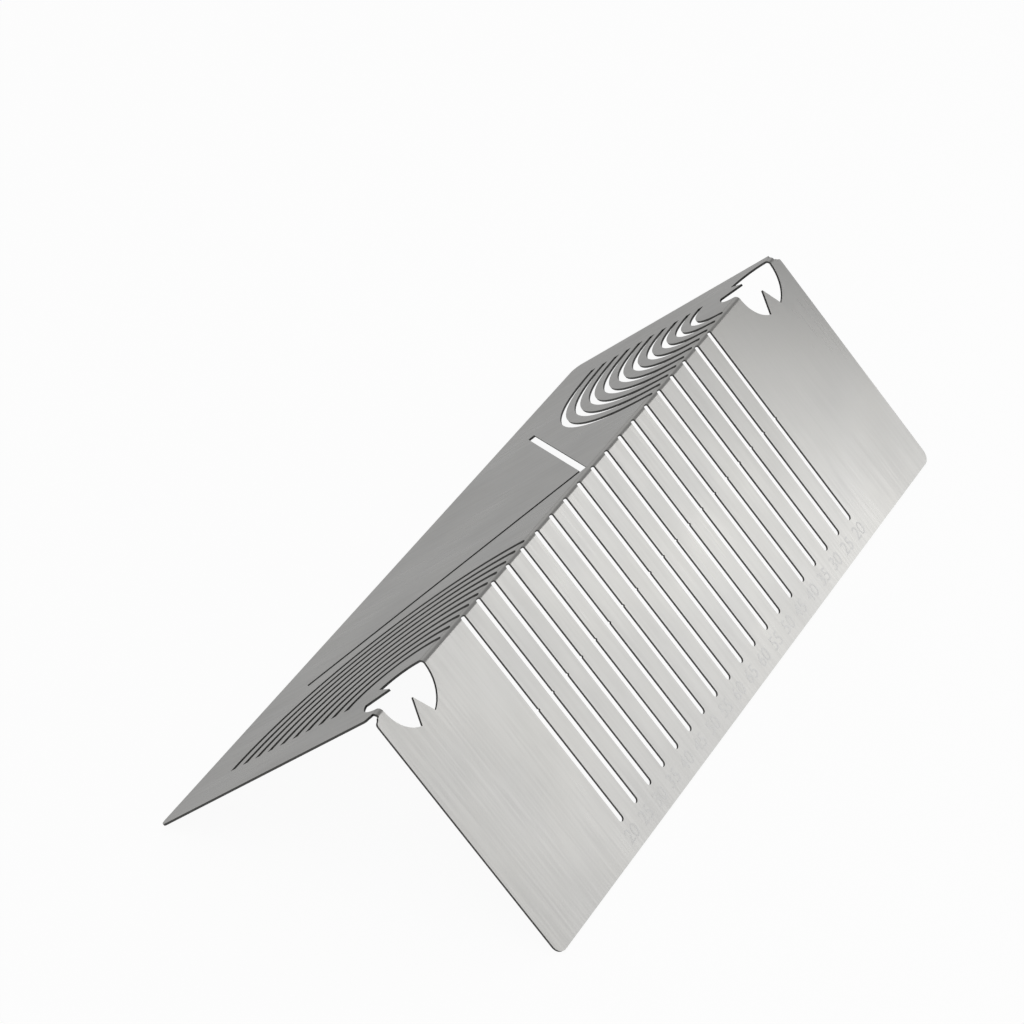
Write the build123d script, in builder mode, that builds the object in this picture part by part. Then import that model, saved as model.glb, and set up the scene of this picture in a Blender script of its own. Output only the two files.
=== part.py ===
from build123d import *
from math import asin, atan2, cos, degrees, radians, sin, tan
import os

# Folded sheet, measured from the sharp corner where the two outer faces would meet
fold_length = 235.0
slot_leg_width = 74.0
arc_leg_width = 84.0
sheet_thickness = 0.6
fold_inner_radius = 0.8
leg_corner_radius = 3.0

# Half-round relief notch at each end of the fold, with rounded lips
relief_radius = 2.2
relief_lip_radius = 1.0

# Square tube sizes that the ruler marks out, and the datums that they are measured from
smallest_tube = 20.0
largest_tube = 65.0
tube_step = 5.0
datum_from_fold = 1.0
datum_from_end = 15.0

# Marking slots
slot_width = 2.0
slot_pitch = 8.0
slot_start_from_fold = 1.2
chevron_tip_from_fold = 1.6
chevron_angle = 90.0

# Round hole across the fold at each end, with a pointer on either side of the fold
hole_radius = 10.5
pointer_gap = 3.5
pointer_angle = 55.0

# Nick that the cutting beam left in the wall of each straight slot
nick_radius = 0.3
nick_from_fold = 31.0

# Derived sizes and places
fold_outer_radius = fold_inner_radius + sheet_thickness
size_count = round((largest_tube - smallest_tube) / tube_step) + 1
straight_slot_count = 2 * size_count - 1
slot_reach = datum_from_fold + largest_tube
straight_slot_length = slot_reach - slot_start_from_fold
end_x = fold_length / 2
datum_x = end_x - datum_from_end

# The ruler stands on the inner edges of its two legs, like a roof
slot_leg_slope = atan2(arc_leg_width - sheet_thickness, slot_leg_width - sheet_thickness)
slot_leg_direction = Vector(cos(slot_leg_slope), 0, -sin(slot_leg_slope))
arc_leg_direction = Vector(-sin(slot_leg_slope), 0, -cos(slot_leg_slope))
ridge_x = (arc_leg_width * sin(slot_leg_slope) - slot_leg_width * cos(slot_leg_slope)) / 2
ridge_z = slot_leg_width * sin(slot_leg_slope) + sheet_thickness * cos(slot_leg_slope)
ridge = Vector(ridge_x, 0, ridge_z)

# Section square to the fold: X runs down the slotted leg, Y down the other leg
fold_direction = Vector(0, 1, 0)
fold_section = Plane(ridge, slot_leg_direction, fold_direction)

# Each leg's plane lies on its outer face: X runs along the fold, Y away from the fold
slot_leg_face = Plane(ridge, fold_direction, fold_direction.cross(slot_leg_direction))
arc_leg_face = Plane(ridge, fold_direction, fold_direction.cross(arc_leg_direction))


def relief_notches(leg_face):
    """A half circle bitten out of each end of the fold, flared by a radius at its lips."""
    outside_width = relief_radius
    outside_height = 2 * (relief_radius + 2 * relief_lip_radius)
    outside_x = end_x + outside_width / 2
    with BuildSketch(leg_face) as notches:
        with Locations((-end_x, 0), (end_x, 0)):
            Circle(relief_radius)
        with Locations((-outside_x, 0), (outside_x, 0)):
            Rectangle(outside_width, outside_height)
        vertex_columns = notches.vertices().group_by(Axis.X)
        fillet(vertex_columns[1] + vertex_columns[2], relief_lip_radius)
    return notches.sketch


def pointer_holes(leg_face):
    """A round hole about each datum, less the triangle of metal that points at the fold."""
    half_base = (hole_radius - pointer_gap) * tan(radians(pointer_angle / 2))
    pointer = [(0, pointer_gap), (half_base, hole_radius), (-half_base, hole_radius)]
    with BuildSketch(leg_face) as holes:
        with Locations((-datum_x, datum_from_fold), (datum_x, datum_from_fold)):
            Circle(hole_radius)
            Polygon(*pointer, align=None, mode=Mode.SUBTRACT)
    return holes.sketch


def straight_slots():
    """Slots square to the fold, one for each size mark, round at both ends."""
    with BuildSketch(slot_leg_face) as slots:
        with Locations((0, slot_start_from_fold + straight_slot_length / 2)):
            with GridLocations(slot_pitch, 0, straight_slot_count, 1):
                SlotOverall(straight_slot_length, slot_width, rotation=90)
        with Locations((slot_width / 2, nick_from_fold)):
            with GridLocations(slot_pitch, 0, straight_slot_count, 1):
                Circle(nick_radius)
    return slots.sketch


def arc_slots():
    """Quarter circles about each datum, round at the fold and cut square at the outer end."""
    start_rise = slot_start_from_fold + slot_width / 2 - datum_from_fold
    with BuildSketch(arc_leg_face) as slots:
        for size in range(size_count):
            radius = smallest_tube + size * tube_step
            sweep = 90 - degrees(asin(start_rise / radius))
            with BuildLine(mode=Mode.PRIVATE) as centre_line:
                CenterArc((datum_x, datum_from_fold), radius, 90, sweep)
            SlotArc(centre_line.wire(), slot_width)
        with Locations((datum_x, 0)):
            cap_height = slot_reach + slot_width
            Rectangle(slot_width, cap_height, align=(Align.MIN, Align.MIN), mode=Mode.SUBTRACT)
        mirror(about=Plane.YZ)
    return slots.sketch


def chevron_slot():
    """Two mitred arms that meet in a point beside the fold, at the middle of its length."""
    half_angle = radians(chevron_angle / 2)
    outer_x = (slot_reach - chevron_tip_from_fold) * tan(half_angle)
    inner_x = outer_x - slot_width * cos(half_angle)
    inner_y = slot_reach + slot_width * sin(half_angle)
    inner_tip = chevron_tip_from_fold + slot_width / sin(half_angle)
    outer_side = [(-outer_x, slot_reach), (0, chevron_tip_from_fold), (outer_x, slot_reach)]
    inner_side = [(inner_x, inner_y), (0, inner_tip), (-inner_x, inner_y)]
    with BuildSketch(arc_leg_face) as chevron:
        Polygon(*outer_side, *inner_side, align=None)
    return chevron.sketch


# Folded ruler: one sheet, folded once, with every opening cut square to its leg
with BuildPart() as folded_ruler:
    with BuildSketch(fold_section):
        with BuildLine():
            FilletPolyline(
                (0, arc_leg_width), (0, 0), (slot_leg_width, 0), radius=fold_outer_radius
            )
            offset(amount=sheet_thickness, side=Side.LEFT)
        make_face()
    extrude(amount=end_x, both=True)
    leg_corners = folded_ruler.edges().filter_by(GeomType.LINE).group_by(SortBy.LENGTH)[0]
    fillet(leg_corners, leg_corner_radius)

    openings = [straight_slots(), arc_slots(), chevron_slot()]
    for leg_face in (slot_leg_face, arc_leg_face):
        openings += [relief_notches(leg_face), pointer_holes(leg_face)]
    for opening in openings:
        extrude(opening, amount=fold_outer_radius, both=True, mode=Mode.SUBTRACT)

os.makedirs("parts", exist_ok=True)
folded_ruler.part.label = "folded_ruler"
export_step(folded_ruler.part, "parts/folded_ruler.step")
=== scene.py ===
import math

import bmesh
import bpy
from mathutils import Matrix, Vector


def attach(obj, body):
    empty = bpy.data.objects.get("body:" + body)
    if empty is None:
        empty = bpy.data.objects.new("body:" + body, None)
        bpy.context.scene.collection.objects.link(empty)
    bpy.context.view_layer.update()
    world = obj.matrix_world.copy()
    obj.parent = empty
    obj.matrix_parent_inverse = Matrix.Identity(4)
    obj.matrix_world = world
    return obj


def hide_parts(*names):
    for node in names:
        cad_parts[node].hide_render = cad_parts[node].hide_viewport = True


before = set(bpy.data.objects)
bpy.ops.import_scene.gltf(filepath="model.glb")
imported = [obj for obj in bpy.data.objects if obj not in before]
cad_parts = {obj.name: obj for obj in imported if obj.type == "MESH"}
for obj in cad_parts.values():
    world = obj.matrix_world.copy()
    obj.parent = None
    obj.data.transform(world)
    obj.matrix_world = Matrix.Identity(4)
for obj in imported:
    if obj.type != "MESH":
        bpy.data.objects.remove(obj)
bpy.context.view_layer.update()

MM = 0.001

# Sizes of the folded sheet that the marks and slot ends are placed by, as in the CAD model
FOLD_LENGTH = 235.0 * MM
SLOT_LEG = 74.0 * MM
ARC_LEG = 84.0 * MM
SHEET = 0.6 * MM
BEND_RADIUS = 1.4 * MM
SLOT_PITCH = 8.0 * MM
SLOT_WIDTH = 2.0 * MM
SLOT_START = 1.2 * MM
DATUM_FROM_END = 15.0 * MM
DATUM_FROM_FOLD = 1.0 * MM
SMALLEST_TUBE = 20
LARGEST_TUBE = 65
TUBE_STEP = 5

# Metal left across the bend between the round ends of two slots that face each other
SLOT_BRIDGE = 0.3 * MM

# How far a slot's cutter stays clear of the slot's own walls, so that no two faces lie in one plane
CUTTER_CLEARANCE = 0.002 * MM

# Height of a cutter's lower face over the bend's centre line, inside the bend's inner radius
CUTTER_LOW = 0.3 * MM

# Numbers under the straight slots
NUMBERS_FROM_FOLD = 67.8 * MM
DIGIT_HEIGHT = 3.9 * MM
DIGIT_SHARE_OF_TEXT_SIZE = 0.7
DIGIT_DEPTH = 0.01 * MM

# Tint of what the metal mirrors near a glancing angle
GLANCING_TINT = 0.64

# The photograph's camera
CAMERA_PLACE = Vector((368.0, -728.4, 604.0)) * MM
CAMERA_AIM = Vector((-15.1, -1.9, 35.7)) * MM
CAMERA_ROLL = math.radians(-1.42)
CAMERA_LENS = 133.9

# The room, in metres: the floor lies a little under the part, so that the two never share a plane
FLOOR_HALF = 40.0
FLOOR_DROP = 0.1 * MM
CLIP_NEAR = 0.05
CLIP_FAR = 100.0
ROOM_LIGHT = 0.43

# The slotted leg mirrors two lamps in the first direction. Both are long along the second one
KEY_AWAY = (0.609, 0.750, 0.258)
KEY_LONG = (-0.026, 0.344, -0.939)

# The fold's sharp outer corner, and the directions in which the two legs leave it
slope = math.atan2(ARC_LEG - SHEET, SLOT_LEG - SHEET)
ridge = Vector((
    (ARC_LEG * math.sin(slope) - SLOT_LEG * math.cos(slope)) / 2,
    0,
    SLOT_LEG * math.sin(slope) + SHEET * math.cos(slope),
))
slot_leg_down = Vector((math.cos(slope), 0, -math.sin(slope)))
arc_leg_down = Vector((-math.sin(slope), 0, -math.cos(slope)))
slot_leg_normal = -arc_leg_down
arc_leg_normal = -slot_leg_down
bend_centre = ridge + (slot_leg_down + arc_leg_down) * BEND_RADIUS

tube_sizes = list(range(SMALLEST_TUBE, LARGEST_TUBE + 1, TUBE_STEP))


class Nodes:
    """Adds shader nodes to one material's tree, and links them as they are made."""

    def __init__(self, tree):
        self.tree = tree
        tree.nodes.clear()

    def feed(self, socket, value):
        """Links a socket to another node's output, or sets it to a plain value."""
        if isinstance(value, bpy.types.NodeSocket):
            self.tree.links.new(value, socket)
        else:
            socket.default_value = value

    def add(self, kind, inputs=None, **settings):
        node = self.tree.nodes.new(kind)
        for key, value in settings.items():
            setattr(node, key, value)
        for key, value in (inputs or {}).items():
            self.feed(node.inputs[key], value)
        return node

    def math(self, operation, a, b=0.0):
        return self.add("ShaderNodeMath", {0: a, 1: b}, operation=operation).outputs[0]

    def total(self, *terms):
        """The sum of two or more values."""
        result = terms[0]
        for term in terms[1:]:
            result = self.math("ADD", result, term)
        return result

    def times(self, a, b):
        return self.math("MULTIPLY", a, b)

    def dot(self, a, b):
        sockets = {0: a, 1: b}
        return self.add("ShaderNodeVectorMath", sockets, operation="DOT_PRODUCT").outputs["Value"]

    def steps(self, value, low, high, to_low=0.0, to_high=1.0):
        """A smooth climb from to_low to to_high, while the value goes from low to high."""
        sockets = {
            "Value": value,
            "From Min": low,
            "From Max": high,
            "To Min": to_low,
            "To Max": to_high,
        }
        node = self.add("ShaderNodeMapRange", sockets, interpolation_type="SMOOTHSTEP")
        return node.outputs["Result"]

    def noise(self, place, waves_per_metre, size, detail, roughness):
        """Noise at a place, with its own fineness along X, Y and Z."""
        sockets = {"Vector": place, "Scale": waves_per_metre}
        stretched = self.add("ShaderNodeMapping", sockets).outputs["Vector"]
        sockets = {"Vector": stretched, "Scale": size, "Detail": detail, "Roughness": roughness}
        return self.add("ShaderNodeTexNoise", sockets).outputs["Fac"]

    def mix(self, factor, a, b):
        """The colour a where the factor is 0 and b where it is 1."""
        factor_input, a_input, b_input, colour_output = 0, 6, 7, 2
        sockets = {factor_input: factor, a_input: a, b_input: b}
        return self.add("ShaderNodeMix", sockets, data_type="RGBA").outputs[colour_output]

    def bump(self, height, strength, distance):
        sockets = {"Strength": strength, "Distance": distance, "Height": height}
        return self.add("ShaderNodeBump", sockets).outputs["Normal"]

    def output(self, kind, shader):
        """The tree's output node, fed by its last shader."""
        self.add(kind, {"Surface": shader})


def grey(value, warmth=0.0):
    """A near-neutral colour, as linear red, green and blue."""
    return (value * (1 + warmth / 3), value, value * (1 - warmth), 1.0)


def new_material(name):
    material = bpy.data.materials.new(name)
    material.use_nodes = True
    return material, Nodes(material.node_tree)


def add_object(name, data):
    """A new object, in the scene."""
    item = bpy.data.objects.new(name, data)
    bpy.context.scene.collection.objects.link(item)
    return item


def turned(x_axis, y_axis, z_axis, place):
    """The matrix that puts an object at a place, with its own axes along three directions."""
    turn = Matrix((x_axis, y_axis, z_axis)).transposed().to_4x4()
    return Matrix.Translation(place) @ turn


def straight_places(down):
    """Where the straight slots lie along the fold. They run square to it, whatever the distance down."""
    last = len(tube_sizes) - 1
    return [index * SLOT_PITCH for index in range(-last, last + 1)]


def arc_places(down):
    """Where the arc slots lie along the fold, at a distance down the leg from the edge of the bend."""
    datum = FOLD_LENGTH / 2 - DATUM_FROM_END
    rise = BEND_RADIUS + down - DATUM_FROM_FOLD
    places = [datum - math.sqrt((size * MM) ** 2 - rise ** 2) for size in tube_sizes]
    return places + [-place for place in places]


def cutter_outline(start, end, lead, bulge):
    """A slot's end as places along the fold and down the leg: half an oval, and a short straight lead."""
    half_width = SLOT_WIDTH / 2 - CUTTER_CLEARANCE
    oval_steps = 12
    turns = [math.pi * step / oval_steps for step in range(oval_steps + 1)]
    oval = [(start + half_width * math.cos(turn), -bulge * math.sin(turn)) for turn in turns]
    return oval + [(end - half_width, lead), (end + half_width, lead)]


def slot_end_cutters(places_at, leg_down, leg_normal):
    """Closed cutters for one leg's slots: a short lead, and a round end that turns into the bend."""
    lead = SLOT_START + SLOT_WIDTH / 2 - BEND_RADIUS
    middle_radius = BEND_RADIUS - SHEET / 2
    bulge_per_height = math.tan((math.pi / 2 - SLOT_BRIDGE / middle_radius) / 2)
    cutters = bmesh.new()
    for start, end in zip(places_at(0.0), places_at(lead)):
        rings = []
        for height in (CUTTER_LOW, BEND_RADIUS + SHEET):
            middle = bend_centre + leg_normal * height
            ring = []
            for along, down in cutter_outline(start, end, lead, height * bulge_per_height):
                ring.append(cutters.verts.new(middle + Vector((0, along, 0)) + leg_down * down))
            rings.append(ring)
        low, high = rings
        cutters.faces.new(low)
        cutters.faces.new(high[::-1])
        for one in range(len(low)):
            other = (one + 1) % len(low)
            cutters.faces.new((low[one], high[one], high[other]))
            cutters.faces.new((low[one], high[other], low[other]))
    bmesh.ops.recalc_face_normals(cutters, faces=cutters.faces)
    mesh = bpy.data.meshes.new("slot_end_cutters")
    cutters.to_mesh(mesh)
    return mesh


def closed_copy(solid):
    """A copy of a solid's mesh with its faces joined along their edges, so that it can be cut."""
    join_distance = 0.0001 * MM
    skin = bmesh.new()
    skin.from_mesh(solid.data)
    bmesh.ops.remove_doubles(skin, verts=skin.verts, dist=join_distance)
    mesh = bpy.data.meshes.new("folded_sheet_closed")
    skin.to_mesh(mesh)
    return mesh


def baked(piece, name):
    """The mesh of a piece as its modifiers leave it."""
    graph = bpy.context.evaluated_depsgraph_get()
    piece_now = piece.evaluated_get(graph)
    mesh = bpy.data.meshes.new_from_object(piece_now, preserve_all_data_layers=True, depsgraph=graph)
    mesh.name = name
    return mesh


def sheet_with_slot_ends(solid):
    """The folded sheet with its slots carried on into the bend, as on the real ruler."""
    sharp_angle = math.radians(30)
    piece = add_object("folded_ruler_with_slot_ends", closed_copy(solid))
    piece.matrix_world = solid.matrix_world
    tools = []
    for places_at, leg_down, leg_normal in (
        (straight_places, slot_leg_down, slot_leg_normal),
        (arc_places, arc_leg_down, arc_leg_normal),
    ):
        tool = add_object("slot_end_cutters", slot_end_cutters(places_at, leg_down, leg_normal))
        tools.append(tool)
        cut = piece.modifiers.new("slot_ends", "BOOLEAN")
        cut.operation = "DIFFERENCE"
        cut.solver = "MANIFOLD"
        cut.object = tool
    mesh = baked(piece, "slot_ends_cut")
    piece.modifiers.clear()
    for tool in tools:
        bpy.data.objects.remove(tool)
    if "custom_normal" in mesh.attributes:
        mesh.attributes.remove(mesh.attributes["custom_normal"])
    mesh.shade_smooth()
    mesh.set_sharp_from_angle(angle=sharp_angle)
    piece.data = mesh
    piece.modifiers.new("flat_legs", "WEIGHTED_NORMAL").keep_sharp = True
    piece.data = baked(piece, "folded_sheet")
    piece.modifiers.clear()
    return piece


def cut_wall_mask(n, place, normal):
    """1 on every cut wall, 0 on the rolled faces, which look straight away from the bend's centre line."""
    sockets = {0: place, 1: bend_centre}
    from_centre = n.add("ShaderNodeVectorMath", sockets, operation="SUBTRACT").outputs[0]
    towards_slot_leg = n.math("MINIMUM", n.dot(from_centre, slot_leg_down), 0.0)
    towards_arc_leg = n.math("MINIMUM", n.dot(from_centre, arc_leg_down), 0.0)
    outward = n.total(
        n.times(towards_slot_leg, n.dot(normal, slot_leg_down)),
        n.times(towards_arc_leg, n.dot(normal, arc_leg_down)),
    )
    squares = n.total(
        n.times(towards_slot_leg, towards_slot_leg),
        n.times(towards_arc_leg, towards_arc_leg),
    )
    facing = n.math("DIVIDE", n.math("ABSOLUTE", outward), n.math("SQRT", squares))
    wall_below, rolled_above = 0.5, 0.8
    return n.steps(facing, wall_below, rolled_above, 1.0, 0.0)


def brushed_sheet():
    """Satin stainless sheet: a faint grain across the fold, soft clouds, and laser-cut walls painted dark,
    as painted shade for the dark surroundings that they mirror.
    """
    warm_steel = grey(0.407, 0.045)
    cool_steel = grey(0.397, 0.012)
    clouded_steel = grey(0.372, 0.025)
    grain_steel = grey(0.345, 0.02)
    # Painted shade: the cut walls are coloured dark, standing in for the dark surroundings that they mirror
    painted_wall_shade = grey(0.08, 0.03)

    material, n = new_material("brushed_stainless_sheet")
    place = n.add("ShaderNodeTexCoord").outputs["Object"]
    geometry = n.add("ShaderNodeNewGeometry")
    wall = cut_wall_mask(n, place, geometry.outputs["True Normal"])

    fine_grain = n.noise(place, (50, 1500, 50), 1.0, 2.0, 0.5)
    long_grain = n.noise(place, (12, 700, 12), 1.0, 2.0, 0.5)
    clouds = n.noise(place, (22, 22, 22), 1.0, 3.0, 0.55)
    tint = n.noise(place, (35, 30, 35), 1.3, 2.0, 0.5)
    grit = n.noise(place, (900, 900, 900), 1.0, 2.0, 0.6)

    def spread(pattern, most):
        """A noise pattern as a climb from nothing up to its most."""
        return n.steps(pattern, 0.3, 0.7, 0.0, most)

    metal = n.mix(tint, warm_steel, cool_steel)
    metal = n.mix(spread(clouds, 0.35), metal, clouded_steel)
    metal = n.mix(spread(fine_grain, 0.1), metal, grain_steel)
    # Every cut wall gets the dark painted shade colour
    colour = n.mix(wall, metal, painted_wall_shade)

    least_roughness = 0.26
    roughness = n.total(
        spread(fine_grain, 0.05), least_roughness, spread(clouds, 0.04), n.times(wall, 0.2)
    )
    height = n.total(n.times(fine_grain, 0.6), n.times(long_grain, 0.3), n.times(grit, 0.35))

    tangent = n.add("ShaderNodeCombineXYZ", {"X": 0.0, "Y": 1.0, "Z": 0.0}).outputs[0]
    shader = n.add("ShaderNodeBsdfPrincipled", {
        "Base Color": colour,
        "Metallic": 1.0,
        "Specular Tint": grey(GLANCING_TINT),
        "Roughness": roughness,
        "Anisotropic": 0.25,
        "Tangent": tangent,
        "Normal": n.bump(height, 0.035, 0.05 * MM),
    })
    n.output("ShaderNodeOutputMaterial", shader.outputs[0])
    return material


def etched_mark():
    """The sheet where the numbers are etched: a little duller and rougher, and dotted."""
    dots_per_metre = 3500.0
    material, n = new_material("etched_stainless")
    place = n.add("ShaderNodeTexCoord").outputs["Object"]
    sockets = {"Vector": place, "Scale": dots_per_metre}
    dots = n.add("ShaderNodeTexVoronoi", sockets).outputs["Distance"]
    shader = n.add("ShaderNodeBsdfPrincipled", {
        "Base Color": n.mix(n.steps(dots, 0.2, 0.6), grey(0.35, 0.02), grey(0.42, 0.01)),
        "Metallic": 1.0,
        "Specular Tint": grey(GLANCING_TINT),
        "Roughness": n.steps(dots, 0.0, 0.8, 0.3, 0.4),
        "Normal": n.bump(dots, 0.25, 0.03 * MM),
    })
    n.output("ShaderNodeOutputMaterial", shader.outputs[0])
    return material


def pale_floor():
    """White to the camera and in reflections, with a share of real shading, so that it keeps a shadow."""
    glow_share = 0.94
    material, n = new_material("pale_floor")
    rays = n.add("ShaderNodeLightPath").outputs
    seen = n.math("MAXIMUM", rays["Is Camera Ray"], rays["Is Glossy Ray"])
    seen = n.math("MAXIMUM", seen, rays["Is Transmission Ray"])
    share = n.times(seen, glow_share)
    shaded = n.add("ShaderNodeBsdfDiffuse", {"Color": grey(0.95)}).outputs[0]
    glowing = n.add("ShaderNodeEmission", {"Color": grey(1.0), "Strength": 1.0}).outputs[0]
    surface = n.add("ShaderNodeMixShader", {0: share, 1: shaded, 2: glowing}).outputs[0]
    n.output("ShaderNodeOutputMaterial", surface)
    return material


def add_floor():
    mesh = bpy.data.meshes.new("floor")
    corners = [(x * FLOOR_HALF, y * FLOOR_HALF, 0) for x, y in ((-1, -1), (1, -1), (1, 1), (-1, 1))]
    mesh.from_pydata(corners, [], [(0, 1, 2, 3)])
    mesh.materials.append(pale_floor())
    floor = add_object("floor", mesh)
    floor.location.z = -FLOOR_DROP


def add_panel(name, centre, away, long_axis, size, radiance):
    """A soft rectangular lamp. It faces against the direction away, and is size[0] long along long_axis."""
    lamp = bpy.data.lights.new(name, "AREA")
    lamp.shape = "RECTANGLE"
    lamp.size, lamp.size_y = size
    lamp.energy = radiance * math.pi * size[0] * size[1]
    back = Vector(away).normalized()
    across = back.cross(Vector(long_axis)).normalized()
    panel = add_object(name, lamp)
    panel.matrix_world = turned(across.cross(back), across, back, Vector(centre))


def add_lamps():
    """Two lamps for the slotted leg, one that the bend mirrors, and a wide one overhead."""
    add_panel("key_panel", (0.381, 0.306, 0.141), KEY_AWAY, KEY_LONG, (0.36, 0.30), 1.34)
    add_panel("strip_panel", (0.291, 0.375, 0.143), KEY_AWAY, KEY_LONG, (0.30, 0.10), 0.50)
    add_panel("back_panel", (-0.5, 0.87, 0.5), (-0.45, 0.73, 0.45), (0.85, 0.53, 0), (0.9, 0.8), 0.42)
    add_panel("top_panel", (0.0, -0.5, 1.2), (0, -0.4, 1), (1, 0, 0), (1.2, 1.2), 0.9)


def add_world():
    world = bpy.data.worlds.new("studio")
    world.use_nodes = True
    n = Nodes(world.node_tree)
    background = n.add("ShaderNodeBackground", {"Color": grey(1.0), "Strength": ROOM_LIGHT})
    n.output("ShaderNodeOutputWorld", background.outputs[0])
    bpy.context.scene.world = world


def add_camera():
    """The photograph's camera: a long lens, a metre away, above and to the right of the near end."""
    data = bpy.data.cameras.new("camera")
    data.sensor_width = 36.0
    data.lens = CAMERA_LENS
    data.clip_start = CLIP_NEAR
    data.clip_end = CLIP_FAR
    camera = add_object("camera", data)
    camera.location = CAMERA_PLACE
    camera.rotation_mode = "QUATERNION"
    towards = (CAMERA_AIM - CAMERA_PLACE).to_track_quat("-Z", "Y")
    camera.rotation_quaternion = towards @ Matrix.Rotation(CAMERA_ROLL, 4, "Z").to_quaternion()
    bpy.context.scene.camera = camera


def add_numbers():
    """A plain number under every straight slot: the size of the tube that its mark is for."""
    row = tube_sizes + tube_sizes[-2::-1]
    along = Vector((0, 1, 0))
    up = -slot_leg_down
    baseline = ridge + slot_leg_down * (NUMBERS_FROM_FOLD + DIGIT_HEIGHT)
    material = etched_mark()
    for index, (size, middle) in enumerate(zip(row, straight_places(0.0))):
        curve = bpy.data.curves.new(f"number_{index:02d}", "FONT")
        curve.body = str(size)
        curve.size = DIGIT_HEIGHT / DIGIT_SHARE_OF_TEXT_SIZE
        curve.align_x = "CENTER"
        curve.align_y = "BOTTOM_BASELINE"
        curve.extrude = DIGIT_DEPTH
        curve.materials.append(material)
        number = add_object(curve.name, curve)
        number.matrix_world = turned(along, up, along.cross(up), baseline + along * middle)
        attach(number, "root")


sheet = sheet_with_slot_ends(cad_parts["folded_ruler"])
sheet.data.materials.clear()
sheet.data.materials.append(brushed_sheet())
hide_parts("folded_ruler")
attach(sheet, "root")
add_numbers()

add_floor()
add_world()
add_lamps()
add_camera()
bpy.context.scene.view_settings.view_transform = "Standard"
